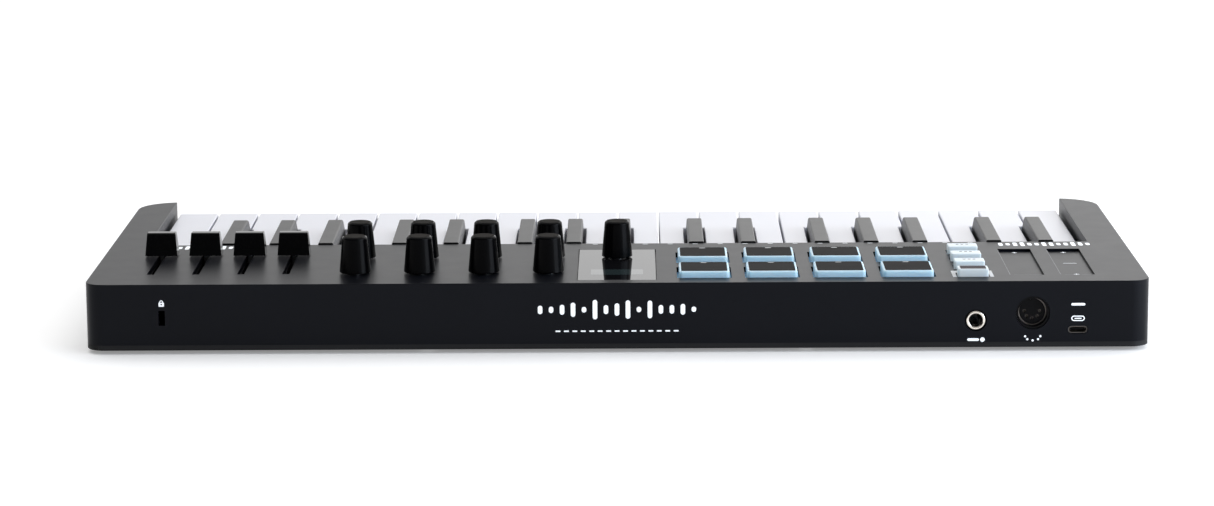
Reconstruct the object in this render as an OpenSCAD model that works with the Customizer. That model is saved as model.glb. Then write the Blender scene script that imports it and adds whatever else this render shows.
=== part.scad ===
// Compact USB keyboard controller: 37 slim keys, pads, knobs, faders and touch strips.
// Millimetres. +Z is up, the player sits at -Y and the sockets are on the +Y wall.
// The origin is on the table, under the middle of the case.

/* [Keys] */
// Distance from one white key to the next
key_pitch = 21.2; // [21:0.02:21.4]
// Gap between two white keys
key_gap = 1; // [0.8:0.1:1.2]
// Height of the white keys' top face above the table
white_top = 27.7; // [27:0.1:28]
// How far the black keys stand above the white ones
black_rise = 6.9; // [6.4:0.1:7.6]
// Length of the black keys' flat top
black_len = 65.5; // [62:0.5:67]

/* [Case] */
// Width of each cheek beside the keys
cheek_w = 18.1; // [17.5:0.1:19]
// Depth of the case, front to rear
case_d = 220; // [218:0.5:222]
// Height of the panel's surface above the table
panel_z = 33.9; // [33.5:0.1:34.5]
// Depth of the control panel, from its front edge to the rear wall
panel_d = 98.75; // [98:0.25:99.5]
// Thickness of the moulded walls
wall = 2.5; // [2.2:0.1:2.8]
// How far the feet hold the case off the table
foot_h = 2; // [1.6:0.1:2.2]

/* [Controls] */
// Distance between the two rows of pads and knobs
row_pitch = 37; // [36.5:0.25:37.5]
// Distance between the columns of knobs
knob_pitch = 30.9; // [30:0.1:31.5]
// Radius of a knob at its base
knob_r = 7.5; // [7.2:0.1:7.8]
// Height of the knobs' tops above the table
knob_top = 52.1; // [51:0.1:53]
// Distance between the columns of pads
pad_pitch = 32.4; // [32:0.1:32.8]
// Height of the pads above the panel
pad_rise = 2.9; // [2.4:0.1:3.6]
// Distance between the faders
fader_pitch = 21.65; // [21:0.05:22]
// Travel of each fader
fader_travel = 44; // [40:0.5:45]

/* [Hidden] */
$fn = 48;

n_white = 22;
key_side_gap = 1.2;
bed_half = n_white * key_pitch / 2 + key_side_gap;
case_w = 2 * (bed_half + cheek_w);
case_top_in = panel_z - wall;
opening_z = case_top_in - 3.4;
part_z = foot_h + wall;
rear_y = case_d / 2;
panel_y = rear_y - panel_d;
front_corner_r = 20;
rear_corner_r = 9;
arc_steps = 14;

// Keys and their pivot
pivot_y = panel_y + 10.75;
pivot_z = 20;
pivot_r = 1.5;
key_bore_r = pivot_r + 0.05;
white_front = -rear_y + 0.6;
white_bottom = 15.5;
key_rear = pivot_y + 4.5;
key_wall = 1.5;
key_skin = 2;
black_base_w = 8.2;
black_top_w = 7.5;
black_clear = 1.3;
black_front_slope = 7;
black_top = white_top + black_rise;
black_bottom = 18;
black_rear = panel_y - 0.85;
black_front_gap = 1.5;
black_stem_w = 6.6;
black_wall = 1.2;
notch_y = black_rear - black_len - black_front_slope - black_front_gap;
// Sideways shift of the black key after each white key of an octave, or undef where there is none
black_shift = [-1.8, 2.9, undef, -2.7, 0.5, 3.8, undef];
black_after = [for (i = [0:n_white - 2]) if (!is_undef(black_shift[i % 7])) i];
n_black = len(black_after);

// Control panel
panel_mid_y = 65.3;
row_y = [panel_mid_y - row_pitch / 2, panel_mid_y + row_pitch / 2];
knob_x = [for (i = [0:3]) 32.9 + i * knob_pitch];
knob_base_z = panel_z + 0.75;
knob_top_r = 6.05;
shaft_r = 2.97;
shaft_bore_r = shaft_r + 0.06;
panel_shaft_hole_r = 4;
pad_x = [for (i = [0:3]) -41.7 - i * pad_pitch];
pad_y = [row_y[0] + 2, row_y[1] + 2];
pad_size = [24, 24];
pad_gap = 1;
pad_mid_x = pad_x[0] - 1.5 * pad_pitch;
pad_sheet_size = [128, 68];
pad_sheet_t = 1.2;
pad_base_z = 29.2;
button_x = -169.6;
button_y = [for (i = [0:3]) 37.7 + i * 18.9];
button_size = [14.5, 8.6];
button_gap = 0.5;
button_rise = 3.7;
fader_x = [for (i = [0:3]) 158.9 + i * fader_pitch];
fader_mid_y = 60;
fader_y = fader_mid_y - fader_travel / 2;
fader_slot_len = 50.8;
fader_slot_w = 3.5;
window_size = [37.3, 76];
window_t = 1.5;
window_gap = 0.3;
window_ledge = 2;
strip_x = [-219.8, -195.7];
strip_size = [16, 64.6];
strip_y = 62.6;
strip_depth = 1.2;

// Rear sockets
jack_at = [-169.9, 15];
jack_bore_r = 3.2;
jack_ring_r = 5.1;
jack_len = 30;
midi_at = [-196.9, 18.5];
midi_r = 7.9;
usb_at = [-218.2, 10.3];
usb_size = [8.94, 3.26];
lock_at = [215.8, 17.7];
lock_size = [3.1, 7.3];

// Boards
board_z = 22.2;
board_t = 1.6;
solder_gap = 0.1;
pad_board_z = 26.8;
io_board_z = 7;
contact_board_z = 9;

// Screws, as [x, y], and feet
case_screws = [for (s = [-1, 1]) each [[s * 243.5, -92], [s * 243.5, 5], [s * 243.5, 96], [s * 90, 103.6]]];
frame_screws = [for (s = [-1, 1]) each [[s * 120, -88], [s * 120, 33]]];
screw_r = 1.45;
pilot_r = 1.5;
screw_hole_r = 1.7;
screw_head_r = 3;
boss_r = 3.3;
feet = [for (x = [-220, 0, 220]) each [[x, -95], [x, 88]]];
foot_r = 7;
foot_recess = 0.8;

function two_digits(n) = n < 10 ? str("0", n) : str(n);
function white_name(i) = str("white_key_", two_digits(i + 1));
function black_name(i) = str("black_key_", two_digits(i + 1));
function knob_name(i) = str("knob_", i + 1);
function fader_name(i) = str("fader_cap_", i + 1);

// ---- Helpers ----

function white_x(i) = (i - (n_white - 1) / 2) * key_pitch;
function has_black(i) = i >= 0 && i < n_white - 1 && !is_undef(black_shift[i % 7]);
function black_x(i) = white_x(i) + key_pitch / 2 + black_shift[i % 7];
function arc(cx, cy, r, from) =
    [for (k = [0:arc_steps]) let (a = from + 90 * k / arc_steps) [cx + r * cos(a), cy + r * sin(a)]];

// Outline of the case seen from above, moved inwards by inset
module case_plan(inset = 0) {
    x = case_w / 2 - inset;
    y = rear_y - inset;
    rf = front_corner_r - inset;
    rr = rear_corner_r - inset;
    polygon(concat(
        arc(x - rr, y - rr, rr, 0), arc(-x + rr, y - rr, rr, 90),
        arc(-x + rf, -y + rf, rf, 180), arc(x - rf, -y + rf, rf, 270)));
}

// A box given by its centre in plan, its size in plan, and its bottom and top
module block(at, size, z0, z1) {
    translate([at[0] - size[0] / 2, at[1] - size[1] / 2, z0])
        cube([size[0], size[1], z1 - z0]);
}

// A box given by two opposite corners
module span(a, b) {
    translate(a) cube(b - a);
}

module post(at, r, z0, z1) {
    translate([at[0], at[1], z0]) cylinder(r = r, h = z1 - z0);
}

// A hole or a pin along Y, given by its place on the rear wall
module rear_rod(at, r, y0, y1) {
    translate([at[0], y0, at[1]]) rotate([-90, 0, 0]) cylinder(r = r, h = y1 - y0);
}

// A slot or tube along Y with round ends, as a USB-C port has
module rear_capsule(at, size, y0, y1) {
    r = size[1] / 2;
    flat = size[0] / 2 - r;
    span([at[0] - flat, y0, at[1] - r], [at[0] + flat, y1, at[1] + r]);
    for (s = [-1, 1]) rear_rod([at[0] + s * flat, at[1]], r, y0, y1);
}

module pivot_rod(x0, x1, r) {
    translate([x0, pivot_y, pivot_z]) rotate([0, 90, 0]) cylinder(r = r, h = x1 - x0);
}

// ---- Case ----

module case_shell() {
    difference() {
        translate([0, 0, part_z]) linear_extrude(panel_z - part_z) case_plan();
        translate([0, 0, part_z - 1]) linear_extrude(case_top_in - part_z + 1) case_plan(wall);
        span([-bed_half, -rear_y - 1, 0], [bed_half, panel_y, panel_z + 1]);
    }
}

module panel_openings() {
    for (x = pad_x, y = pad_y)
        block([x, y], pad_size + 2 * [pad_gap, pad_gap], opening_z, panel_z + 1);
    for (x = knob_x, y = row_y) post([x, y], panel_shaft_hole_r, opening_z, panel_z + 1);
    for (y = button_y)
        block([button_x, y], button_size + 2 * [button_gap, button_gap], opening_z, panel_z + 1);
    for (x = fader_x)
        block([x, fader_mid_y], [fader_slot_w, fader_slot_len], opening_z, panel_z + 1);
    for (x = strip_x) block([x, strip_y], strip_size, panel_z - strip_depth, panel_z + 1);
    block([0, panel_mid_y], window_size + 2 * [window_gap, window_gap], panel_z - window_t, panel_z + 1);
    block([0, panel_mid_y], window_size - 2 * [window_ledge, window_ledge], opening_z, panel_z);
}

module socket_openings() {
    rear_rod(jack_at, jack_ring_r + 0.15, rear_y - wall - 1, rear_y + 1);
    rear_rod(midi_at, midi_r + 0.15, rear_y - wall - 1, rear_y + 1);
    rear_capsule(usb_at, usb_size + [0.5, 0.5], rear_y - wall - 1, rear_y + 1);
    lock_z = lock_at[1] - lock_size[1] / 2;
    block([lock_at[0], rear_y], [lock_size[0], 3 * wall], lock_z, lock_z + lock_size[1]);
}

module upper_case() {
    color([0.09, 0.09, 0.1]) difference() {
        union() {
            case_shell();
            for (s = [-1, 1])
                block([s * (bed_half + 1), (panel_y - rear_y) / 2 + 1.5], [2, panel_y + rear_y - 1],
                    9, panel_z);
            span([-bed_half, panel_y, 28.6], [bed_half, panel_y + 2, panel_z]);
            for (p = case_screws) post(p, boss_r, part_z + 4.2, case_top_in + 0.5);
        }
        panel_openings();
        socket_openings();
        for (p = case_screws) post(p, pilot_r, part_z, 20);
    }
}

module lower_case() {
    rim = wall + 0.3;
    color([0.1, 0.1, 0.11]) difference() {
        union() {
            translate([0, 0, foot_h]) linear_extrude(wall) case_plan();
            difference() {
                translate([0, 0, foot_h + 1]) linear_extrude(part_z - foot_h + 3) case_plan(rim);
                translate([0, 0, part_z]) linear_extrude(10) case_plan(rim + 1.8);
                span([-bed_half - 4, -rear_y, part_z], [bed_half + 4, -rear_y + 30, 20]);
                rear_rod(midi_at, midi_r + 1.5, 90, rear_y);
                block([midi_at[0], 108], [76, 12], io_board_z - 0.8, 20);
            }
            span([-bed_half + 0.3, -rear_y, foot_h + 1], [bed_half - 0.3, -rear_y + wall, 7.6]);
            for (p = case_screws) post(p, boss_r, foot_h + 1, part_z + 4.1);
        }
        for (p = concat(case_screws, frame_screws)) {
            post(p, screw_hole_r, 0, 20);
            post(p, screw_head_r + 0.3, foot_h - 1, foot_h + 1.6);
        }
        for (p = feet) post(p, foot_r + 0.1, foot_h - 1, foot_h + foot_recess);
    }
}

// ---- Keys ----

// Plan of white key i, moved inwards by inset: full width in front, cut back beside the black keys
module white_plan(i, inset = 0) {
    x0 = white_x(i) - (key_pitch - key_gap) / 2 + inset;
    x1 = white_x(i) + (key_pitch - key_gap) / 2 - inset;
    side = black_base_w / 2 + black_clear;
    r0 = has_black(i - 1) ? black_x(i - 1) + side + inset : x0;
    r1 = has_black(i) ? black_x(i) - side - inset : x1;
    y0 = white_front + inset;
    yn = notch_y - inset;
    y1 = inset > 0 ? pivot_y - 5 : key_rear;
    polygon([[x0, y0], [x1, y0], [x1, yn], [r1, yn], [r1, y1], [r0, y1], [r0, yn], [x0, yn]]);
}

module white_key(i) {
    color([0.93, 0.93, 0.95]) difference() {
        translate([0, 0, white_bottom]) linear_extrude(white_top - white_bottom) white_plan(i);
        translate([0, 0, white_bottom - 1]) linear_extrude(white_top - white_bottom - key_skin + 1)
            white_plan(i, key_wall);
        pivot_rod(white_x(i) - key_pitch, white_x(i) + key_pitch, key_bore_r);
    }
}

// The black key after white key i
module black_key(i) {
    x = black_x(i);
    front = black_rear - black_len;
    color([0.06, 0.06, 0.06]) difference() {
        union() {
            intersection() {
                translate([x + black_base_w, 0, 0]) rotate([90, 0, -90]) linear_extrude(2 * black_base_w)
                    polygon([[-black_rear, black_bottom], [-black_rear, black_top], [-front, black_top],
                             [-front + black_front_slope, white_top],
                             [-front + black_front_slope, black_bottom]]);
                translate([x, black_rear, 0]) rotate([90, 0, 0]) linear_extrude(2 * black_len)
                    polygon([[-black_base_w / 2, black_bottom], [black_base_w / 2, black_bottom],
                             [black_base_w / 2, white_top], [black_top_w / 2, black_top],
                             [-black_top_w / 2, black_top], [-black_base_w / 2, white_top]]);
            }
            span([x - black_stem_w / 2, black_rear - 12, 16.5],
                [x + black_stem_w / 2, key_rear, white_top - 0.2]);
        }
        span([x - black_base_w / 2 + black_wall, front + 1, black_bottom - 1],
            [x + black_base_w / 2 - black_wall, black_rear - 14, black_top - 4]);
        pivot_rod(x - black_base_w, x + black_base_w, key_bore_r);
    }
}

module key_frame() {
    notch_half = black_base_w / 2 + black_clear;
    web_x = (black_stem_w / 2 + notch_half) / 2;
    web_t = 1;
    color([0.25, 0.25, 0.27]) {
        difference() {
            union() {
                span([-bed_half + 4, -rear_y + 4, part_z], [bed_half - 4, 42, part_z + 2]);
                span([-bed_half + 4, key_rear + 3, part_z], [bed_half - 4, key_rear + 5, 14]);
                for (i = [0:n_white - 1]) block([white_x(i), -93], [8, 6], part_z + 1, 17);
                for (i = black_after, s = [-1, 1])
                    block([black_x(i) + s * web_x, pivot_y + 1.5], [web_t, 11], part_z + 1, 22.5);
            }
            pivot_rod(-bed_half, bed_half, pivot_r + 0.02);
            for (p = frame_screws) post(p, pilot_r, 0, 20);
        }
    }
    color([0.75, 0.75, 0.77]) pivot_rod(-bed_half + 1, bed_half - 1, pivot_r);
    color([0.55, 0.1, 0.1])
        span([-bed_half + 5, -rear_y + 6, part_z + 2.05], [bed_half - 5, -rear_y + 12, 8]);
}

// ---- Electronics ----

// Rotary encoder standing on the main board: square body and a bushing for the shaft
module encoder_body(at, size, body_top, bore_floor) {
    difference() {
        union() {
            block(at, [size, size], board_z + board_t + solder_gap, body_top);
            post(at, 3.5, body_top - 1, panel_z - 0.4);
        }
        post(at, shaft_bore_r, bore_floor, panel_z);
    }
}

module fader_body(x) {
    difference() {
        block([x, fader_mid_y], [9, 60], board_z + board_t + solder_gap, 31);
        block([x, fader_mid_y], [2.6, fader_slot_len], 26, 32);
    }
}

module main_board() {
    top = board_z + board_t;
    color([0.05, 0.3, 0.15]) {
        span([-183, 36, board_z], [232, 99.5, top]);
        block([pad_mid_x, panel_mid_y], pad_sheet_size, pad_board_z, pad_board_z + board_t);
        span([-232, 84, io_board_z], [-160, 106, io_board_z + board_t]);
        span([-bed_half + 6, -24, contact_board_z], [bed_half - 6, 6, contact_board_z + board_t]);
        for (x = strip_x) block([x, strip_y], [14, 62], case_top_in - 1.3, case_top_in - 0.1);
    }
    color([0.6, 0.6, 0.62]) {
        for (x = knob_x, y = row_y) encoder_body([x, y], 12, 28.6, 24.6);
        encoder_body([0, row_y[0]], 14, 29.6, 24.2);
        for (x = fader_x) fader_body(x);
        for (y = button_y) block([button_x, y], [6, 6], top + solder_gap, 27.8);
    }
    color([0.8, 0.8, 0.78])
        for (i = [0:n_white - 1])
            block([white_x(i), -10], [5, 5], contact_board_z + board_t + solder_gap, 13.2);
    color([0.02, 0.02, 0.05]) block([0, 85], [31, 22], 29, panel_z - window_t - 0.1);
    color([0.2, 0.2, 0.2]) {
        for (s = [-1, 1]) block([s * 12, 85], [3, 18], top, 29);
        for (x = [pad_x[3] - 12, pad_x[0] + 12], y = [34, 96.5]) post([x, y], 2, top, pad_board_z);
    }
}

module display_window() {
    color([0.02, 0.02, 0.03]) difference() {
        block([0, panel_mid_y], window_size, panel_z - window_t, panel_z);
        post([0, row_y[0]], panel_shaft_hole_r, 0, panel_z + 1);
    }
}

module jack_socket() {
    color([0.85, 0.8, 0.7]) difference() {
        union() {
            block([jack_at[0], rear_y - wall - jack_len / 2 - 0.2], [13, jack_len], 8.7, 21.6);
            rear_rod(jack_at, jack_ring_r, rear_y - wall - 1, rear_y);
        }
        rear_rod(jack_at, jack_bore_r, rear_y - jack_len, rear_y + 1);
    }
}

module midi_socket() {
    pin_circle_r = 3.6;
    pin_hole_r = 0.85;
    shell_slot_r = 6.9;
    core_r = 6.1;
    core_recess = 4.5;
    socket_floor = rear_y - 9.5;
    color([0.05, 0.05, 0.05]) difference() {
        union() {
            rear_rod(midi_at, midi_r, rear_y - 13, rear_y - 0.8);
            span([midi_at[0] - 9, rear_y - 22, 8.7],
                [midi_at[0] + 9, rear_y - wall - 0.6, midi_at[1] + 8.5]);
        }
        difference() {
            rear_rod(midi_at, shell_slot_r, socket_floor, rear_y + 1);
            rear_rod(midi_at, core_r, socket_floor - 1, rear_y - core_recess);
        }
        for (a = [-90:45:90])
            rear_rod(midi_at + pin_circle_r * [sin(a), -cos(a)], pin_hole_r, socket_floor, rear_y);
    }
}

module usb_socket() {
    color([0.7, 0.7, 0.72]) {
        difference() {
            rear_capsule(usb_at, usb_size, rear_y - 8, rear_y - 0.6);
            rear_capsule(usb_at, usb_size - [0.6, 0.6], rear_y - 7.5, rear_y + 1);
        }
        block([usb_at[0], rear_y - 4.6], [6.7, 5], usb_at[1] - 0.35, usb_at[1] + 0.35);
    }
}

module rear_sockets() {
    jack_socket();
    midi_socket();
    usb_socket();
}

module screw(at, tip) {
    post(at, screw_head_r, foot_h, foot_h + 1.5);
    post(at, screw_r, foot_h + 1, tip);
}

module feet_and_screws() {
    color([0.15, 0.15, 0.15]) for (p = feet) post(p, foot_r, 0, foot_h + foot_recess);
    color([0.5, 0.5, 0.52]) {
        for (p = case_screws) screw(p, 15);
        for (p = frame_screws) screw(p, part_z + 2);
    }
}

// ---- Controls ----

// The pads are one silicone mat: eight blocks on a thin sheet under the panel
module drum_pads() {
    color([0.7, 0.8, 0.85]) {
        block([pad_mid_x, panel_mid_y], pad_sheet_size, pad_base_z, pad_base_z + pad_sheet_t);
        for (x = pad_x, y = pad_y) block([x, y], pad_size, pad_base_z, panel_z + pad_rise);
    }
}

module function_buttons() {
    color([0.8, 0.84, 0.86]) for (y = button_y) {
        block([button_x, y], button_size, 28.7, panel_z + button_rise);
        block([button_x, y], button_size + [2.4, 2.4], 30, case_top_in - 0.2);
    }
}

// Tapered cap with a rounded top edge, hollow under its skirt, pushed on a round shaft
module knob(at, shaft_z) {
    h = knob_top - knob_base_z;
    round_r = 1;
    skirt = 1.2;
    hub_r = 4.4;
    hollow = 9;
    bore = 12;
    color([0.05, 0.05, 0.05]) translate([at[0], at[1], knob_base_z]) rotate_extrude()
        polygon(concat(
            [[3, 0], [hub_r, 0], [hub_r, hollow], [knob_top_r - skirt + 0.6, hollow],
             [knob_r - skirt, 0], [knob_r, 0]],
            [for (k = [0:6]) [knob_top_r, h] + round_r * [cos(15 * k) - 1, sin(15 * k) - 1]],
            [[0, h], [0, bore], [3, bore]]));
    color([0.7, 0.7, 0.7]) post(at, shaft_r, shaft_z, knob_base_z + bore - 0.1);
}

module small_knob(i) {
    knob([knob_x[i % 4], row_y[floor(i / 4)]], 25);
}

module main_encoder_knob() {
    knob([0, row_y[0]], 26);
}

module main_encoder_plunger() {
    color([0.8, 0.8, 0.8]) post([0, row_y[0]], 2.9, 24.9, 25.9);
}

// Cap with sloping sides, on the lever of the slide potentiometer
module fader_cap(i) {
    base = [15.8, 9];
    top = [13.9, 4.6];
    z0 = panel_z + 0.7;
    z1 = z0 + 11.1;
    lever = [2, 4];
    translate([fader_x[i], fader_y, 0]) {
        color([0.04, 0.04, 0.04]) difference() {
            intersection() {
                translate([0, base[1], 0]) rotate([90, 0, 0]) linear_extrude(2 * base[1])
                    polygon([[-base[0] / 2, z0], [base[0] / 2, z0], [top[0] / 2, z1], [-top[0] / 2, z1]]);
                translate([-base[0], 0, 0]) rotate([90, 0, 90]) linear_extrude(2 * base[0])
                    polygon([[-base[1] / 2, z0], [base[1] / 2, z0], [top[1] / 2, z1], [-top[1] / 2, z1]]);
            }
            block([0, 0], lever + [0.1, 0.1], z0 - 1, z0 + 7);
        }
        color([0.6, 0.6, 0.6]) block([0, 0], lever, 27, z0 + 6.9);
    }
}

upper_case();
lower_case();
key_frame();
main_board();
display_window();
rear_sockets();
feet_and_screws();
drum_pads();
function_buttons();
main_encoder_plunger();
main_encoder_knob();
for (i = [0:7]) small_knob(i);
for (i = [0:3]) fader_cap(i);
for (i = [0:n_white - 1]) white_key(i);
for (i = [0:n_black - 1]) black_key(black_after[i]);
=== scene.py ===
"""Looks of the compact keyboard controller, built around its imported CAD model.

Metres, +Z up. The player sits at -Y, and the sockets are on the +Y wall. Names that end in _MM and the
arguments of mm() and inset() are millimetres.
"""

import math

import bmesh
import bpy
from mathutils import Matrix, Vector


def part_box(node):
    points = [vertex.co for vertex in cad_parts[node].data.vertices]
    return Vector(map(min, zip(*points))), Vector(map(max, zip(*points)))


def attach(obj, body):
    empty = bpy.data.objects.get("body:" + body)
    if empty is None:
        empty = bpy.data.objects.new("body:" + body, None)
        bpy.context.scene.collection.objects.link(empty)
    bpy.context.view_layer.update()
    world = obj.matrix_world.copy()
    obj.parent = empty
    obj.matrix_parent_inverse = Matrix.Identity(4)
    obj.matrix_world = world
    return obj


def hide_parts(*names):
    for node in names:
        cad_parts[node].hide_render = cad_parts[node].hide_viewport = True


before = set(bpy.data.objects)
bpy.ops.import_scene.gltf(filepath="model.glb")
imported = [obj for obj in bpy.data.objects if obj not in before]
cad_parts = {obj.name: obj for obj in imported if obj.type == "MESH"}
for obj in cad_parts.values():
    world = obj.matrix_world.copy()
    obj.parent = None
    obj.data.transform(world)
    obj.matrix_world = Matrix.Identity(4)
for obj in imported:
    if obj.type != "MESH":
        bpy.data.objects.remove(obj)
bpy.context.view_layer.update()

# Vertices nearer than this are one, and planes nearer than this are level
WELD = 2e-6
SHARP = math.radians(30)
# Noise lies mostly between these two values
NOISE_LOW, NOISE_HIGH = 0.3, 0.7


def mm(*values):
    """Millimetres to metres: a number for one value, else a list."""
    scaled = [v / 1000 for v in values]
    return scaled[0] if len(scaled) == 1 else scaled


# ---- Places read from the frame ----

def node_centre(node):
    low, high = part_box(node)
    return (low + high) / 2


def node_size(node):
    low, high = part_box(node)
    return high - low


def numbered(prefix, count):
    return [f"{prefix}{i + 1}" for i in range(count)]


def spots(centre, pitch, count):
    """Evenly spaced places about a centre, lowest first."""
    return [centre + (i - (count - 1) / 2) * pitch for i in range(count)]


WHITE_KEYS = sorted(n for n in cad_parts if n.startswith("white_key_"))
BLACK_KEYS = sorted(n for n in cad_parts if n.startswith("black_key_"))
SMALL_KNOBS = numbered("knob_", 8)
FADERS = numbered("fader_cap_", 4)
PANEL_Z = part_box("display_window")[1].z
REAR_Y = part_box("upper_case")[1].y
# The cheeks and the case's corners lie within this distance of its ends
CHEEK_ZONE = mm(20.5)
# The panel covers the rear 15.25 mm of the black keys
PANEL_FRONT_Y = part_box("black_key_01")[1].y - mm(15.25)
WINDOW_X = node_centre("display_window").x

PAD_PITCH = mm(32.4)
ROW_PITCH = mm(37)
PAD_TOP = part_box("drum_pads")[1].z
PADS = [(x, y) for y in spots(node_centre("drum_pads").y + mm(2), ROW_PITCH, 2)
        for x in spots(node_centre("drum_pads").x, PAD_PITCH, 4)]
PAD_SIZE = mm(24, 24)
BUTTON_X = node_centre("function_buttons").x
BUTTON_YS = spots(node_centre("function_buttons").y, mm(18.9), 4)
BUTTON_SIZE = mm(14.5, 8.6)
BUTTON_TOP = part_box("function_buttons")[1].z
STRIP_XS = mm(-219.8, -195.7)
STRIP_FLOOR = PANEL_Z - mm(1.2)
STRIP_Y = mm(62.6)

SCREEN_Y = mm(84)
SCREEN_SIZE = mm(25, 13)

# Centres on the rear wall, as X and Z
JACK = mm(-169.9, 15)
MIDI = mm(-196.9, 18.5)
USB = mm(-218.2, 10.3)
LOCK_X = mm(215.8)
PIN_CIRCLE = mm(3.6)
PIN_ANGLES = [math.radians(-90 + 45 * i) for i in range(5)]


def inset(depth):
    """Y of a place that many millimetres in from the rear wall."""
    return REAR_Y - mm(depth)


# ---- Materials ----

def new_material(name):
    material = bpy.data.materials.new(name)
    material.use_nodes = True
    return material, material.node_tree, material.node_tree.nodes["Principled BSDF"]


def object_noise(tree, scale, detail=2.0, stretch=(1, 1, 1)):
    """Noise over the row frame, with scale in features per metre."""
    coords = tree.nodes.new("ShaderNodeTexCoord")
    mapping = tree.nodes.new("ShaderNodeMapping")
    mapping.inputs["Scale"].default_value = stretch
    noise = tree.nodes.new("ShaderNodeTexNoise")
    noise.inputs["Scale"].default_value = scale
    noise.inputs["Detail"].default_value = detail
    tree.links.new(coords.outputs["Object"], mapping.inputs["Vector"])
    tree.links.new(mapping.outputs["Vector"], noise.inputs["Vector"])
    return noise.outputs["Fac"]


def spread(tree, value, low, high):
    """Maps noise to a value between low and high."""
    node = tree.nodes.new("ShaderNodeMapRange")
    node.inputs["From Min"].default_value = NOISE_LOW
    node.inputs["From Max"].default_value = NOISE_HIGH
    node.inputs["To Min"].default_value = low
    node.inputs["To Max"].default_value = high
    tree.links.new(value, node.inputs["Value"])
    return node.outputs["Result"]


def tint(tree, value, dark, light):
    """Mixes two colours by noise."""
    ramp = tree.nodes.new("ShaderNodeValToRGB")
    ramp.color_ramp.elements[0].position = NOISE_LOW
    ramp.color_ramp.elements[1].position = NOISE_HIGH
    ramp.color_ramp.elements[0].color = (*dark, 1)
    ramp.color_ramp.elements[1].color = (*light, 1)
    tree.links.new(value, ramp.inputs["Fac"])
    return ramp.outputs["Color"]


def bump(tree, shader, value, depth):
    """Raises the surface by value times depth, in metres."""
    node = tree.nodes.new("ShaderNodeBump")
    node.inputs["Strength"].default_value = 1.0
    node.inputs["Distance"].default_value = depth
    tree.links.new(value, node.inputs["Height"])
    tree.links.new(node.outputs["Normal"], shader.inputs["Normal"])


def moulded(name, colour, roughness, grain=2600, grain_depth=2e-6, ior=1.45, vary=0.06, glow=0.0,
            painted_glow=(0, 0, 0)):
    """Moulded plastic or rubber: fine grain, with slow changes of colour and gloss.

    glow is how much light passes under the surface, as in silicone. The last argument is painted light: an
    emission that makes the part shine though it is no lamp.
    """
    material, tree, shader = new_material(name)
    slow = object_noise(tree, 22, 3)
    fine = object_noise(tree, grain, 2)
    light = tuple(min(1, c * (1 + vary)) for c in colour)
    dark = tuple(c * (1 - vary) for c in colour)
    tree.links.new(tint(tree, slow, dark, light), shader.inputs["Base Color"])
    gloss = spread(tree, object_noise(tree, 90, 4), roughness * 0.98, min(1, roughness * 1.03))
    tree.links.new(gloss, shader.inputs["Roughness"])
    bump(tree, shader, fine, grain_depth)
    shader.inputs["IOR"].default_value = ior
    # Painted light: this emission makes the surface shine though it is no lamp
    shader.inputs["Emission Color"].default_value = (*painted_glow, 1)
    shader.inputs["Emission Strength"].default_value = 1.0 if any(painted_glow) else 0.0
    shader.inputs["Subsurface Weight"].default_value = glow
    shader.inputs["Subsurface Scale"].default_value = 0.004
    shader.inputs["Subsurface Radius"].default_value = (0.7, 0.9, 1.0)
    return material


def metal(name, colour, roughness, stretch=(1, 1, 1)):
    """Bare or plated metal with fine machining marks."""
    material, tree, shader = new_material(name)
    marks = object_noise(tree, 900, 4, stretch)
    tree.links.new(tint(tree, marks, tuple(c * 0.85 for c in colour), colour), shader.inputs["Base Color"])
    tree.links.new(spread(tree, marks, roughness * 0.8, roughness * 1.3), shader.inputs["Roughness"])
    bump(tree, shader, marks, 1e-6)
    shader.inputs["Metallic"].default_value = 1.0
    return material


def circuit_board(name):
    """Green solder mask with lighter tracks."""
    material, tree, shader = new_material(name)
    coords = tree.nodes.new("ShaderNodeTexCoord")
    tracks = tree.nodes.new("ShaderNodeTexBrick")
    tracks.inputs["Scale"].default_value = 60
    tracks.inputs["Mortar Size"].default_value = 0.03
    tracks.inputs["Color1"].default_value = (0.012, 0.075, 0.035, 1)
    tracks.inputs["Color2"].default_value = (0.016, 0.09, 0.045, 1)
    tracks.inputs["Mortar"].default_value = (0.05, 0.2, 0.09, 1)
    tree.links.new(coords.outputs["Object"], tracks.inputs["Vector"])
    tree.links.new(tracks.outputs["Color"], shader.inputs["Base Color"])
    tree.links.new(spread(tree, object_noise(tree, 400), 0.25, 0.4), shader.inputs["Roughness"])
    bump(tree, shader, tracks.outputs["Fac"], 2e-5)
    return material


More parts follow.
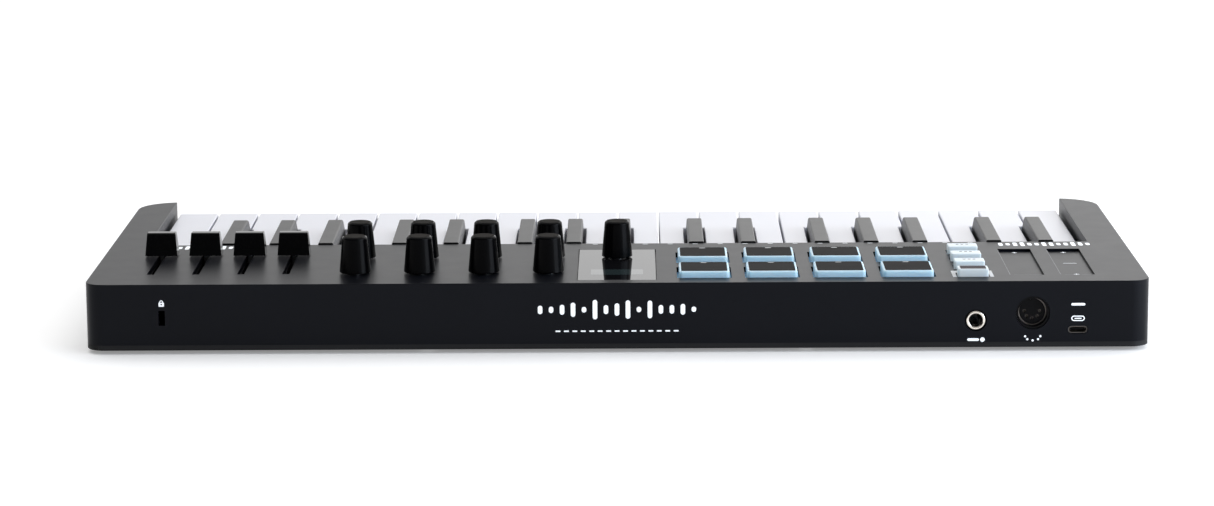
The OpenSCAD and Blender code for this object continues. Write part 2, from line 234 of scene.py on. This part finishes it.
MATERIALS = {
    "case": moulded("case_plastic", (0.0028, 0.0034, 0.0058), 0.34, 2200, 2.5e-6, ior=1.2),
    "base": moulded("base_plastic", (0.008, 0.008, 0.009), 0.5, 1500, 6e-6, ior=1.3),
    "white_key": moulded("white_key_plastic", (0.69, 0.695, 0.75), 0.3, 1800, 1e-6, vary=0.01, glow=0.06),
    "black_key": moulded("black_key_plastic", (0.006, 0.006, 0.006), 0.36, 2600, 3e-6, ior=1.33),
    "knob": moulded("knob_plastic", (0.001, 0.001, 0.0014), 0.2, 2600, 0.8e-6, ior=1.14),
    # Matte grey-brown for the knob tops: painted reflection, standing for the bright sky the dome catches
    "knob_face": moulded("knob_top_painted_sheen_plastic", (0.026, 0.024, 0.022), 0.7, 2600, 4e-6, ior=1.07),
    "fader": moulded("fader_plastic", (0.002, 0.002, 0.0024), 0.12, 2600, 0.4e-6),
    "window": moulded("window_glaze", (0.005, 0.005, 0.006), 0.03, 300, 0.1e-6, ior=1.36),
    "screen": moulded("screen_glass", (0.02, 0.03, 0.032), 0.04, 300, 0.1e-6, ior=1.62),
    # The pads' pale blue silicone is their own colour; their emission is painted light that brightens their
    # sides
    "pad": moulded("pad_silicone", (0.53, 0.71, 0.81), 0.45, 1200, 2e-6, vary=0.03, glow=0.8,
                   painted_glow=(0.045, 0.095, 0.15)),
    "pad_top": moulded("pad_top_rubber", (0.016, 0.015, 0.015), 0.75, 1600, 9e-6, ior=1.18),
    # The buttons' pale grey is their own colour; their emission is painted light that makes them shine
    "button": moulded("button_plastic", (0.6, 0.65, 0.68), 0.4, 1400, 1e-6, vary=0.02, glow=0.6,
                      painted_glow=(0.1, 0.12, 0.13)),
    "label": moulded("button_label", (0.09, 0.08, 0.085), 0.85, 2600, 6e-6, ior=1.2),
    "felt": moulded("key_felt", (0.022, 0.02, 0.022), 0.95, 1800, 6e-5, vary=0.25),
    "frame": moulded("frame_plastic", (0.12, 0.12, 0.125), 0.5, 1500, 6e-6),
    "rubber": moulded("foot_rubber", (0.03, 0.03, 0.03), 0.75, 1200, 1.5e-5),
    # The ink's white is its own colour; its emission is painted light that keeps the marks bright in shade
    "print": moulded("printed_ink", (0.9, 0.93, 0.95), 0.5, 4000, 2e-6, vary=0.02, painted_glow=(0.2, 0.21, 0.23)),
    "pale_print": moulded("printed_pale_ink", (0.55, 0.56, 0.57), 0.5, 4000, 2e-6, vary=0.03),
    # Grey for lines along the touch strips' edges: painted highlight, standing for the light their rounded
    # rims catch
    "painted_edge_highlight": moulded("painted_highlight_grey", (0.2, 0.2, 0.21), 0.5, 4000, 2e-6, vary=0.05),
    "socket": moulded("socket_plastic", (0.0015, 0.0015, 0.002), 0.4, 2000, 2e-6, ior=1.18),
    "nickel": metal("nickel_plate", (0.86, 0.8, 0.72), 0.16),
    "steel": metal("machined_steel", (0.62, 0.62, 0.63), 0.3, (1, 1, 14)),
    # Steel darkened to a dim brown-grey: painted shade for the socket shells and contacts that sit in the
    # rear wall's openings
    "shade_darkened_steel": metal("socket_steel_painted_shade", (0.2, 0.18, 0.165), 0.35),
    "board": circuit_board("circuit_board"),
}


# ---- Mesh building ----

def rounded_rect(centre, size, radius, steps=6):
    """Outline of a rectangle with round corners, as (a, b) points, counter-clockwise."""
    half_a, half_b = size[0] / 2 - radius, size[1] / 2 - radius
    points = []
    for k, (sa, sb) in enumerate(((1, 1), (-1, 1), (-1, -1), (1, -1))):
        for i in range(steps + 1):
            angle = math.pi / 2 * (k + i / steps)
            points.append((centre[0] + sa * half_a + radius * math.cos(angle),
                           centre[1] + sb * half_b + radius * math.sin(angle)))
    return points


def pill(centre, size):
    """Outline with fully round ends."""
    return rounded_rect(centre, size, min(size) / 2 - WELD)


def circle(centre, radius, steps=48):
    turn = 2 * math.pi / steps
    return [(centre[0] + radius * math.cos(i * turn), centre[1] + radius * math.sin(i * turn))
            for i in range(steps)]


def cross(centre, reach, half_width):
    """Outline of a plus sign."""
    r, w = reach, half_width
    corners = [(r, -w), (r, w), (w, w), (w, r), (-w, r), (-w, w), (-r, w), (-r, -w), (-w, -w), (-w, -r),
               (w, -r), (w, -w)]
    return [(centre[0] + a, centre[1] + b) for a, b in corners]


def upright(a, b, h):
    """Outline in X and Y, height along Z."""
    return Vector((a, b, h))


def on_rear_wall(a, b, h):
    """Outline in X and Z, height along Y."""
    return Vector((a, h, b))


def prism(bm, outlines, low, high, place=upright, rim=0.0, segments=3):
    """Closed prism over outlines[0], with the other outlines as through holes. rim rounds its top edge."""
    before = set(bm.faces)
    rings = []
    for outline in outlines:
        bottom = [bm.verts.new(place(*p, low)) for p in outline]
        top = [bm.verts.new(place(*p, high)) for p in outline]
        n = len(outline)
        for j in range(n):
            bm.faces.new((bottom[j], bottom[(j + 1) % n], top[(j + 1) % n], top[j]))
        rings.append((bottom, top))
    for side in (0, 1):
        if len(outlines) == 1:
            bm.faces.new(rings[0][side])
        else:
            edges = [bm.edges.get((r[side][j], r[side][(j + 1) % len(r[side])]))
                     for r in rings for j in range(len(r[side]))]
            bmesh.ops.triangle_fill(bm, edges=edges, use_beauty=True)
    bmesh.ops.recalc_face_normals(bm, faces=[f for f in bm.faces if f not in before])
    if rim:
        top = rings[0][1]
        edges = [bm.edges.get((top[j], top[(j + 1) % len(top)])) for j in range(len(top))]
        round_off(bm, edges, rim, segments)


def lathe(bm, profile, centre, place=upright, steps=64):
    """Turns a closed profile of (radius, height) points about an axis through centre."""
    before = set(bm.faces)
    columns = []
    for i in range(steps):
        angle = 2 * math.pi * i / steps
        c, s = math.cos(angle), math.sin(angle)
        columns.append([bm.verts.new(place(centre[0] + r * c, centre[1] + r * s, h)) for r, h in profile])
    n = len(profile)
    for i in range(steps):
        a, b = columns[i], columns[(i + 1) % steps]
        for j in range(n):
            k = (j + 1) % n
            bm.faces.new((a[j], b[j], b[k], a[k]))
    bmesh.ops.remove_doubles(bm, verts=[v for column in columns for v in column], dist=WELD / 4)
    bmesh.ops.recalc_face_normals(bm, faces=[f for f in bm.faces if f not in before])


def ring(inner, outer, low, high, rim):
    """Profile of a tube whose top edges are rounded by rim."""
    turn = [(rim * (1 - math.cos(math.radians(15 * i))), rim * (1 - math.sin(math.radians(15 * i))))
            for i in range(7)]
    outer_top = [(outer - a, high - b) for a, b in turn]
    inner_top = [(inner + a, high - b) for a, b in reversed(turn)]
    return [(inner, low), (outer, low), *outer_top, *inner_top]


def finish_piece(name, bm, body, material, replaces=()):
    """Turns bm into a piece that rides on body."""
    bmesh.ops.dissolve_degenerate(bm, edges=bm.edges, dist=1e-7)
    mesh = bpy.data.meshes.new(name)
    bm.to_mesh(mesh)
    bm.free()
    for polygon in mesh.polygons:
        polygon.use_smooth = True
    mesh.set_sharp_from_angle(angle=SHARP)
    mesh.materials.append(MATERIALS[material])
    piece = bpy.data.objects.new(name, mesh)
    bpy.context.scene.collection.objects.link(piece)
    even = piece.modifiers.new("even_normals", "WEIGHTED_NORMAL")
    even.keep_sharp = True
    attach(piece, body)
    if replaces:
        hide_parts(*replaces)


def cad_copy(node):
    """A node's mesh with its flat faces whole again, ready for rounding."""
    bm = bmesh.new()
    bm.from_mesh(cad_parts[node].data)
    bmesh.ops.remove_doubles(bm, verts=bm.verts, dist=WELD)
    bmesh.ops.dissolve_limit(bm, angle_limit=math.radians(1), verts=bm.verts, edges=bm.edges)
    return bm


def corners(verts):
    """Lowest and highest corner of some vertices."""
    low = Vector(min(v.co[i] for v in verts) for i in range(3))
    high = Vector(max(v.co[i] for v in verts) for i in range(3))
    return low, high


def cad_part(node, chosen):
    """The solids of a node whose lowest and highest corners pass the test."""
    bm = cad_copy(node)
    unseen = set(bm.verts)
    dropped = []
    for start in bm.verts:
        if start not in unseen:
            continue
        unseen.remove(start)
        solid = [start]
        for vert in solid:
            for edge in vert.link_edges:
                other = edge.other_vert(vert)
                if other in unseen:
                    unseen.remove(other)
                    solid.append(other)
        if not chosen(*corners(solid)):
            dropped += solid
    bmesh.ops.delete(bm, geom=dropped, context="VERTS")
    return bm


def sharp_edges(bm, chosen=lambda low, high: True):
    """Outer (convex) sharp edges whose lowest and highest corners pass the test."""
    found = []
    for edge in bm.edges:
        if len(edge.link_faces) != 2 or not edge.is_convex or edge.calc_face_angle(0) < SHARP:
            continue
        if chosen(*corners(edge.verts)):
            found.append(edge)
    return found


def round_off(bm, edges, radius, segments=3):
    """Rounds edges, or chamfers them with one segment."""
    if edges:
        bmesh.ops.bevel(bm, geom=edges, offset=radius, offset_type="OFFSET", segments=segments, profile=0.5,
                        affect="EDGES", clamp_overlap=True)


# ---- Case ----

def make_upper_case():
    bm = cad_copy("upper_case")
    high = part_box("upper_case")[1]
    rim = sharp_edges(bm, lambda a, b: a.z > high.z - WELD and (
        a.y > high.y - mm(9.5) or max(abs(a.x), abs(b.x)) > high.x - CHEEK_ZONE))
    round_off(bm, rim, mm(0.8), 4)
    openings = sharp_edges(bm, lambda a, b: a.z > high.z - WELD)
    round_off(bm, openings, mm(0.25), 2)
    finish_piece("upper_case_shell", bm, "root", "case", ["upper_case"])


def make_lower_case():
    bm = cad_copy("lower_case")
    low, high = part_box("lower_case")
    around = sharp_edges(bm, lambda a, b: b.z < low.z + WELD and (
        max(abs(a.x), abs(b.x)) > high.x - CHEEK_ZONE or max(abs(a.y), abs(b.y)) > high.y - mm(1)))
    round_off(bm, around, mm(1.6), 4)
    finish_piece("lower_case_tray", bm, "root", "base", ["lower_case"])


def make_feet_and_screws():
    foot_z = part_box("feet_and_screws")[0].z
    feet = cad_part("feet_and_screws", lambda low, high: low.z < foot_z + WELD)
    round_off(feet, sharp_edges(feet, lambda a, b: b.z < foot_z + WELD), mm(0.4))
    finish_piece("rubber_feet", feet, "root", "rubber", ["feet_and_screws"])
    shanks = cad_part("feet_and_screws", lambda low, high: low.z > foot_z + WELD)
    finish_piece("screws", shanks, "root", "steel")


# ---- Keys ----

def make_white_key(node):
    bm = cad_copy(node)
    low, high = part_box(node)
    front = sharp_edges(bm, lambda a, b: b.y < low.y + WELD and b.z > low.z + WELD)
    top = sharp_edges(bm, lambda a, b: a.z > high.z - WELD and b.y > low.y + WELD)
    round_off(bm, front + top, mm(0.6), 4)
    finish_piece(f"{node}_cap", bm, node, "white_key", [node])


def make_black_key(node):
    bm = cad_copy(node)
    low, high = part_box(node)
    front = sharp_edges(bm, lambda a, b: a.z > high.z - WELD and b.y < low.y + mm(8))
    round_off(bm, front, mm(2.6), 6)
    rim = sharp_edges(bm, lambda a, b: b.z > high.z - mm(7) and a.y < high.y - mm(17))
    round_off(bm, rim, mm(0.7), 4)
    finish_piece(f"{node}_cap", bm, node, "black_key", [node])


def make_key_frame():
    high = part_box("key_frame")[1]
    frame_part = cad_part("key_frame", lambda a, b: b.z > high.z - WELD)
    finish_piece("key_frame_moulding", frame_part, "root", "frame", ["key_frame"])
    rod = cad_part("key_frame", lambda a, b: a.z > mm(18))
    finish_piece("key_pivot_rod", rod, "root", "steel")
    felt = cad_part("key_frame", lambda a, b: b.z < mm(9))
    round_off(felt, sharp_edges(felt), mm(0.5))
    finish_piece("key_felt", felt, "root", "felt")


# ---- Controls ----

def knob_profile(foot, rim, base, top):
    """Side of a knob cap: it narrows in a slight hollow curve to a rounded rim and a shallow dome."""
    rim_round, dome, skirt, lip = mm(1.1, 0.1, 1.2, 0.25)
    hub, shaft, hollow, bore = mm(4.4, 3, 9, 12)
    side_top = top - dome - rim_round
    side = []
    for i in range(13):
        t = i / 12
        side.append((rim + (foot - rim) * (1 - t) ** 1.05, base + lip + t * (side_top - base - lip)))
    arc = [(rim - rim_round * (1 - math.cos(a)), side_top + rim_round * math.sin(a))
           for a in (math.radians(12 * i) for i in range(1, 7))]
    flat = rim - rim_round
    crown = [(flat * (1 - i / 6), top - dome * (1 - i / 6) ** 2) for i in range(7)]
    inside = [(shaft, base + bore), (shaft, base), (hub, base), (hub, base + hollow),
              (rim - skirt, base + hollow), (foot - skirt, base), (foot - lip, base)]
    return [*inside, *side, *arc, *crown, (0, base + bore)]


def make_knob(node):
    base = PANEL_Z + mm(0.75)
    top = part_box(node)[1].z
    centre = node_centre(node)
    bm = bmesh.new()
    lathe(bm, knob_profile(node_size(node).x / 2, mm(6.05), base, top), centre, steps=96)
    finish_piece(f"{node}_cap", bm, node, "knob", [node])
    # The disc on the knob's top is painted reflection: its lighter colour stands for the sky that the dome
    # catches
    marks(f"{node}_face", [[circle(centre, mm(5.1))]], top, upright, node, "knob_face", "knob")
    shaft = cad_part(node, lambda low, high: low.z < base - mm(1))
    finish_piece(f"{node}_shaft", shaft, node, "steel")


def make_fader_cap(node):
    cap = cad_part(node, lambda low, high: low.z > PANEL_Z)
    high = corners(cap.verts)[1]
    uprights = sharp_edges(cap, lambda a, b: b.z > high.z - WELD and max(b.x - a.x, b.y - a.y) < mm(2))
    round_off(cap, uprights, mm(1.2), 1)
    round_off(cap, sharp_edges(cap, lambda a, b: a.z > high.z - mm(0.1)), mm(0.45), 4)
    finish_piece(f"{node}_grip", cap, node, "fader", [node])
    lever = cad_part(node, lambda low, high: low.z < PANEL_Z)
    round_off(lever, sharp_edges(lever), mm(0.2), 2)
    finish_piece(f"{node}_lever", lever, node, "steel")


def make_pads():
    bm = cad_copy("drum_pads")
    uprights = sharp_edges(bm, lambda a, b: b.z > PAD_TOP - WELD and a.z < PAD_TOP - mm(1))
    round_off(bm, uprights, mm(1.7), 6)
    round_off(bm, sharp_edges(bm, lambda a, b: a.z > PAD_TOP - WELD), mm(0.7), 4)
    finish_piece("pad_mat", bm, "drum_pads", "pad", ["drum_pads"])
    border = mm(1)
    inlay_size = [side - 2 * border for side in PAD_SIZE]
    inlay_top = PAD_TOP + mm(0.06)
    for i, at in enumerate(PADS):
        bm = bmesh.new()
        prism(bm, [rounded_rect(at, inlay_size, mm(0.9))], PAD_TOP - mm(0.6), inlay_top, rim=mm(0.05))
        finish_piece(f"pad_top_{i + 1}", bm, "drum_pads", "pad_top")
        mark = (at[0], at[1] - inlay_size[1] / 2 + mm(1.8))
        marks(f"pad_mark_{i + 1}", [[pill(mark, mm(3, 1.2))]], inlay_top, upright, "drum_pads", "pale_print",
              "pad_silicone")


def make_buttons():
    for i, y in enumerate(BUTTON_YS):
        bm = cad_part("function_buttons", lambda low, high: low.y < y < high.y)
        uprights = sharp_edges(bm, lambda a, b: b.z > BUTTON_TOP - WELD and a.z < BUTTON_TOP - mm(1))
        round_off(bm, uprights, mm(0.9), 5)
        round_off(bm, sharp_edges(bm, lambda a, b: a.z > BUTTON_TOP - WELD), mm(0.5), 4)
        replaced = ["function_buttons"] if i == 0 else []
        finish_piece(f"function_button_{i + 1}", bm, "function_buttons", "button", replaced)
        at = (BUTTON_X, y)
        if i == len(BUTTON_YS) - 1:
            label = [rounded_rect(at, [BUTTON_SIZE[0] - mm(2.3), BUTTON_SIZE[1] - mm(1.4)], mm(0.4))]
            marks("shift_button_label", [label], BUTTON_TOP, upright, "function_buttons", "label",
                  "button_plastic")
            around = [rounded_rect((BUTTON_X, y - mm(2.5)), mm(19.5, 14.9), mm(0.3)),
                      rounded_rect(at, [side + mm(1.4) for side in BUTTON_SIZE], mm(0.3))]
            marks("shift_button_frame", [around], PANEL_Z, upright, "root", "pale_print", "case")
        else:
            dashes = [[pill((BUTTON_X + dx, y - mm(0.9)), mm(1.5, 1.1))] for dx in mm(-2.4, 0, 2.4)]
            marks(f"function_button_mark_{i + 1}", dashes, BUTTON_TOP, upright, "function_buttons", "label",
                  "button_plastic")


def make_window():
    bm = cad_copy("display_window")
    round_off(bm, sharp_edges(bm, lambda a, b: a.z > PANEL_Z - WELD), mm(0.15), 2)
    finish_piece("display_window_pane", bm, "root", "window", ["display_window"])
    screen = [rounded_rect((WINDOW_X, SCREEN_Y), SCREEN_SIZE, mm(0.3))]
    marks("display_screen", [screen], PANEL_Z, upright, "root", "screen", "display_window")


def make_electronics():
    node = "main_board"

    def thickness(low, high):
        return high.z - low.z

    def is_board(low, high):
        return thickness(low, high) < mm(1.7) and high.x - low.x > mm(10)

    def is_dome(low, high):
        return high.z < mm(14) and not is_board(low, high)

    def is_encoder(low, high):
        return high.z > mm(33) and high.x - low.x < mm(15)

    def is_rest(low, high):
        return not (is_board(low, high) or is_dome(low, high) or is_encoder(low, high))

    finish_piece("circuit_boards", cad_part(node, is_board), "root", "board", [node])
    finish_piece("contact_domes", cad_part(node, is_dome), "root", "rubber")
    finish_piece("rotary_encoders", cad_part(node, is_encoder), "root", "steel")
    finish_piece("sliders_and_switches", cad_part(node, is_rest), "root", "socket")


# ---- Rear sockets ----

def make_jack():
    """Panel jack: black body and nut, bright barrel with a rounded lip."""
    bore, barrel = mm(3.2, 4.6)
    body = bmesh.new()
    prism(body, [rounded_rect((JACK[0], mm(15.15)), mm(13, 12.9), mm(0.4)), circle(JACK, barrel)],
          inset(32.7), inset(2.7), on_rear_wall)
    finish_piece("jack_body", body, "root", "socket", ["rear_sockets"])
    nut = bmesh.new()
    lathe(nut, ring(barrel + mm(0.02), mm(5.1), inset(2.7), inset(0.9), mm(0.2)), JACK, on_rear_wall)
    finish_piece("jack_nut", nut, "root", "socket")
    tube = bmesh.new()
    lathe(tube, ring(bore, barrel, inset(30), REAR_Y, mm(0.6)), JACK, on_rear_wall)
    finish_piece("jack_barrel", tube, "root", "nickel")


def make_midi_socket():
    """Round 5-pin socket: black body, thin metal shell in its groove, and a spring contact in each hole."""
    body = cad_part("rear_sockets", lambda low, high: low.x < MIDI[0] < high.x)
    round_off(body, sharp_edges(body, lambda a, b: a.y > inset(4.6)), mm(0.25), 3)
    finish_piece("midi_socket_body", body, "root", "socket")
    groove = inset(9.4)
    shell = bmesh.new()
    lathe(shell, ring(mm(6.3), mm(6.7), groove, inset(4), mm(0.08)), MIDI, on_rear_wall)
    finish_piece("midi_socket_shell", shell, "root", "shade_darkened_steel")
    pins = bmesh.new()
    for angle in PIN_ANGLES:
        at = (MIDI[0] + PIN_CIRCLE * math.sin(angle), MIDI[1] - PIN_CIRCLE * math.cos(angle))
        lathe(pins, ring(mm(0.5), mm(0.7), groove, inset(5.6), mm(0.05)), at, on_rear_wall, 24)
    finish_piece("midi_socket_contacts", pins, "root", "shade_darkened_steel")
    key = bmesh.new()
    prism(key, [rounded_rect((MIDI[0], MIDI[1] + mm(6.4)), mm(2.2, 1.6), mm(0.2))], groove, inset(2.5),
          on_rear_wall)
    finish_piece("midi_socket_key", key, "root", "socket")


def make_usb_socket():
    """Metal shell with a thin plastic tongue, and a row of contacts on each side of the tongue."""

    def is_here(low, high):
        return low.x < USB[0] < high.x

    shell = cad_part("rear_sockets", lambda low, high: is_here(low, high) and high.z - low.z > mm(2))
    round_off(shell, sharp_edges(shell, lambda a, b: a.y > inset(0.7)), mm(0.1), 2)
    finish_piece("usb_shell", shell, "root", "shade_darkened_steel")
    tongue = cad_part("rear_sockets", lambda low, high: is_here(low, high) and high.z - low.z < mm(2))
    round_off(tongue, sharp_edges(tongue), mm(0.1), 2)
    finish_piece("usb_tongue", tongue, "root", "socket")
    contacts = bmesh.new()
    for z in (USB[1] - mm(0.36), USB[1] + mm(0.36)):
        for x in spots(USB[0], mm(0.5), 12):
            prism(contacts, [rounded_rect((x, z), mm(0.25, 0.06), mm(0.01), 1)], inset(6.5), inset(2.8),
                  on_rear_wall)
    finish_piece("usb_contacts", contacts, "root", "nickel")


# ---- Printed marks: plain signs, no lettering, and painted highlight lines ----

INK = mm(0.02)


def marks(name, shapes, surface, place, body, material, slot):
    """Thin shapes on a surface, mostly print, some of them painted highlight or painted reflection. Each
    shape is its outline, then its holes.
    """
    bm = bmesh.new()
    for outlines in shapes:
        prism(bm, outlines, surface - INK, surface + INK, place)
    finish_piece(name, bm, body, material)


def wall_marks(name, shapes):
    marks(name, shapes, REAR_Y, on_rear_wall, "root", "print", "case")


def panel_marks(name, shapes, material="print"):
    marks(name, shapes, PANEL_Z, upright, "root", material, "case")


def half_ellipse(centre, radius_a, radius_b, steps=12):
    """Points from the right end over the top to the left end."""
    turns = [math.pi * i / steps for i in range(steps + 1)]
    return [(centre[0] + radius_a * math.cos(t), centre[1] + radius_b * math.sin(t)) for t in turns]


def make_level_bars():
    """A row of bars like a level meter, over a dashed line, in the middle of the rear wall."""
    bars = []
    for i, x in enumerate(spots(0, mm(5.2), 15)):
        swing = math.sin(i * 1.9) ** 2 * math.sin(math.pi * (i + 1) / 16)
        bars.append([pill((x, mm(21)), mm(2.2, 2.6 + 7.6 * swing))])
    wall_marks("rear_level_bars", bars)
    wall_marks("rear_dashes", [[pill((x, mm(10.6)), mm(2.4, 0.7))] for x in spots(0, mm(4), 15)])


def make_socket_signs():
    """A padlock, a plug, the five pins, and a port under a bar."""
    arch = (LOCK_X, mm(25.3))
    shackle = half_ellipse(arch, mm(0.95), mm(1.1))
    inner = half_ellipse(arch, mm(0.55), mm(0.7))[::-1]
    body = rounded_rect((LOCK_X, mm(24.3)), mm(2.6, 2), mm(0.3))
    keyhole = circle((LOCK_X, mm(24.35)), mm(0.35), 16)
    wall_marks("lock_sign", [[body, keyhole], [[*shackle, *inner]]])
    plug_z = mm(5.7)
    wall_marks("jack_sign", [[pill((JACK[0] + mm(1.2), plug_z), mm(5.6, 1.3))],
                             [circle((JACK[0] - mm(3.2), plug_z), mm(1.1), 24)]])
    dots = [(MIDI[0] + PIN_CIRCLE * math.sin(a), mm(7.2) - mm(2) * math.cos(a)) for a in PIN_ANGLES]
    wall_marks("midi_sign", [[circle(dot, mm(0.55), 16)] for dot in dots])
    port = (USB[0], mm(15.8))
    wall_marks("usb_sign", [[pill(port, mm(6.4, 2.6)), pill(port, mm(5.4, 1.6))], [pill(port, mm(3.4, 0.5))],
                            [pill((USB[0], mm(22.6)), mm(6.6, 1.2))]])


def make_panel_marks():
    """Bars at both ends of the panel's front edge, ticks between them, and the marks of the touch strips:
    signs in them, and grey lines along two edges of each that are painted highlights of their rounded rims.
    """
    for side, (x, count) in {"left": (mm(-212), 13), "right": (mm(203), 15)}.items():
        bars = []
        for i, bar_x in enumerate(spots(x, mm(3.6), count)):
            length = 5.5 + 4.5 * math.sin(i * 2.3) ** 2
            bars.append([pill((bar_x, PANEL_FRONT_Y + mm(7)), mm(2.1, length))])
        panel_marks(f"panel_bars_{side}", bars)
    ticks = [[pill((mm(11) - i * mm(12.45), PANEL_FRONT_Y + mm(2)), mm(2.6, 0.7))] for i in range(16)]
    panel_marks("semitone_ticks", ticks)
    signs = []
    for x in STRIP_XS:
        signs.append([cross((x, STRIP_Y - mm(28.7)), mm(1.3), mm(0.3))])
    signs.append([cross((STRIP_XS[0], STRIP_Y + mm(25.8)), mm(1.3), mm(0.3))])
    signs.append([pill((STRIP_XS[0], STRIP_Y - mm(1.3)), mm(6.6, 0.6))])
    # Grey lines along the +X side and rear end of each strip: painted highlights of the rounded rims
    edges = []
    for x in STRIP_XS:
        edges.append([pill((x + mm(8.3), STRIP_Y + mm(2)), mm(0.25, 60))])
        edges.append([pill((x, STRIP_Y + mm(32.6)), mm(13, 0.3))])
    panel_marks("strip_edge_painted_highlights", edges, "painted_edge_highlight")
    marks("strip_signs", signs, STRIP_FLOOR, upright, "root", "print", "case")


# ---- Stage ----

CAMERA_AT_MM = (-5.835, 1805.08, 379.02)
CAMERA_PITCH, CAMERA_YAW, CAMERA_ROLL = 11.04, 0.3514, -0.3239
CAMERA_LENS_MM = 108.52


def make_camera():
    """Camera behind the object, looking along -Y and a little down."""
    pitch, yaw, roll = (math.radians(a) for a in (CAMERA_PITCH, CAMERA_YAW, CAMERA_ROLL))
    ahead = Vector((math.sin(yaw) * math.cos(pitch), -math.cos(yaw) * math.cos(pitch), -math.sin(pitch)))
    right = ahead.cross(Vector((0, 0, 1))).normalized()
    up = right.cross(ahead)
    tilted_right = math.cos(roll) * right + math.sin(roll) * up
    tilted_up = math.cos(roll) * up - math.sin(roll) * right
    data = bpy.data.cameras.new("camera")
    data.lens = CAMERA_LENS_MM
    data.sensor_width = 36
    camera = bpy.data.objects.new("camera", data)
    axes = Matrix((tilted_right, tilted_up, -ahead)).transposed()
    camera.matrix_world = Matrix.Translation(Vector(mm(*CAMERA_AT_MM))) @ axes.to_4x4()
    bpy.context.scene.collection.objects.link(camera)
    bpy.context.scene.camera = camera


def add_softbox(name, at, towards, size, power, colour=(1, 1, 1)):
    data = bpy.data.lights.new(name, "AREA")
    data.shape = "RECTANGLE"
    data.size, data.size_y = size
    data.energy = power
    data.color = colour
    light = bpy.data.objects.new(name, data)
    light.location = at
    light.rotation_euler = (Vector(towards) - Vector(at)).to_track_quat("-Z", "Y").to_euler()
    light.visible_camera = False
    bpy.context.scene.collection.objects.link(light)


def make_world():
    """White sky that fades to dark low on the +Y side, so black plastic there stays black."""
    world = bpy.data.worlds.new("studio")
    world.use_nodes = True
    tree = world.node_tree
    coords = tree.nodes.new("ShaderNodeTexCoord")
    axes = tree.nodes.new("ShaderNodeSeparateXYZ")
    tree.links.new(coords.outputs["Generated"], axes.inputs["Vector"])

    def fade(axis, start, end, low, high):
        node = tree.nodes.new("ShaderNodeMapRange")
        node.interpolation_type = "SMOOTHSTEP"
        node.inputs["From Min"].default_value = start
        node.inputs["From Max"].default_value = end
        node.inputs["To Min"].default_value = low
        node.inputs["To Max"].default_value = high
        tree.links.new(axes.outputs[axis], node.inputs["Value"])
        return node.outputs["Result"]

    def combine(operation, a, b):
        node = tree.nodes.new("ShaderNodeMath")
        node.operation = operation
        tree.links.new(a, node.inputs[0])
        tree.links.new(b, node.inputs[1])
        return node.outputs[0]

    overhead = fade("Z", 0.3, 0.9, 0.03, 0.8)
    far_side = combine("MULTIPLY", fade("Y", 0.3, -0.6, 0.0, 1.0), fade("X", -0.15, 0.15, 1.7, 1.05))
    strength = combine("MAXIMUM", overhead, far_side)
    tree.links.new(strength, tree.nodes["Background"].inputs["Strength"])
    tree.nodes["Background"].inputs["Color"].default_value = (1, 1, 1, 1)
    bpy.context.scene.world = world


def make_floor():
    """Pale floor, with a little light of its own so that it stays near white."""
    bm = bmesh.new()
    bmesh.ops.create_grid(bm, x_segments=1, y_segments=1, size=9)
    mesh = bpy.data.meshes.new("floor")
    bm.to_mesh(mesh)
    bm.free()
    floor = bpy.data.objects.new("floor", mesh)
    bpy.context.scene.collection.objects.link(floor)
    material, _, shader = new_material("floor_paint")
    shader.inputs["Base Color"].default_value = (0.92, 0.92, 0.92, 1)
    shader.inputs["Roughness"].default_value = 0.9
    shader.inputs["Emission Color"].default_value = (1, 1, 1, 1)
    shader.inputs["Emission Strength"].default_value = 0.25
    mesh.materials.append(material)


make_camera()
make_world()
make_floor()
add_softbox("top_softbox", (0, -0.2, 2.2), (0, 0, 0), (2.6, 2.0), 8)
add_softbox("rear_right_softbox", (-1.35, 1.75, 0.65), (0, 0, 0.02), (0.35, 0.8), 6.5, (0.75, 0.86, 1.0))
add_softbox("side_softbox", (-0.95, 0.42, 0.26), (0, 0.05, 0.2), (0.75, 0.5), 8, (0.8, 0.88, 1.0))
bpy.context.scene.view_settings.view_transform = "Standard"

make_upper_case()
make_lower_case()
make_feet_and_screws()
make_key_frame()
for key in WHITE_KEYS:
    make_white_key(key)
for key in BLACK_KEYS:
    make_black_key(key)
for knob in [*SMALL_KNOBS, "main_encoder_knob"]:
    make_knob(knob)
for fader in FADERS:
    make_fader_cap(fader)
make_pads()
make_buttons()
make_window()
make_electronics()
make_jack()
make_midi_socket()
make_usb_socket()
make_level_bars()
make_socket_signs()
make_panel_marks()

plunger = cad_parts["main_encoder_plunger"]
plunger.data.materials.clear()
plunger.data.materials.append(MATERIALS["steel"])
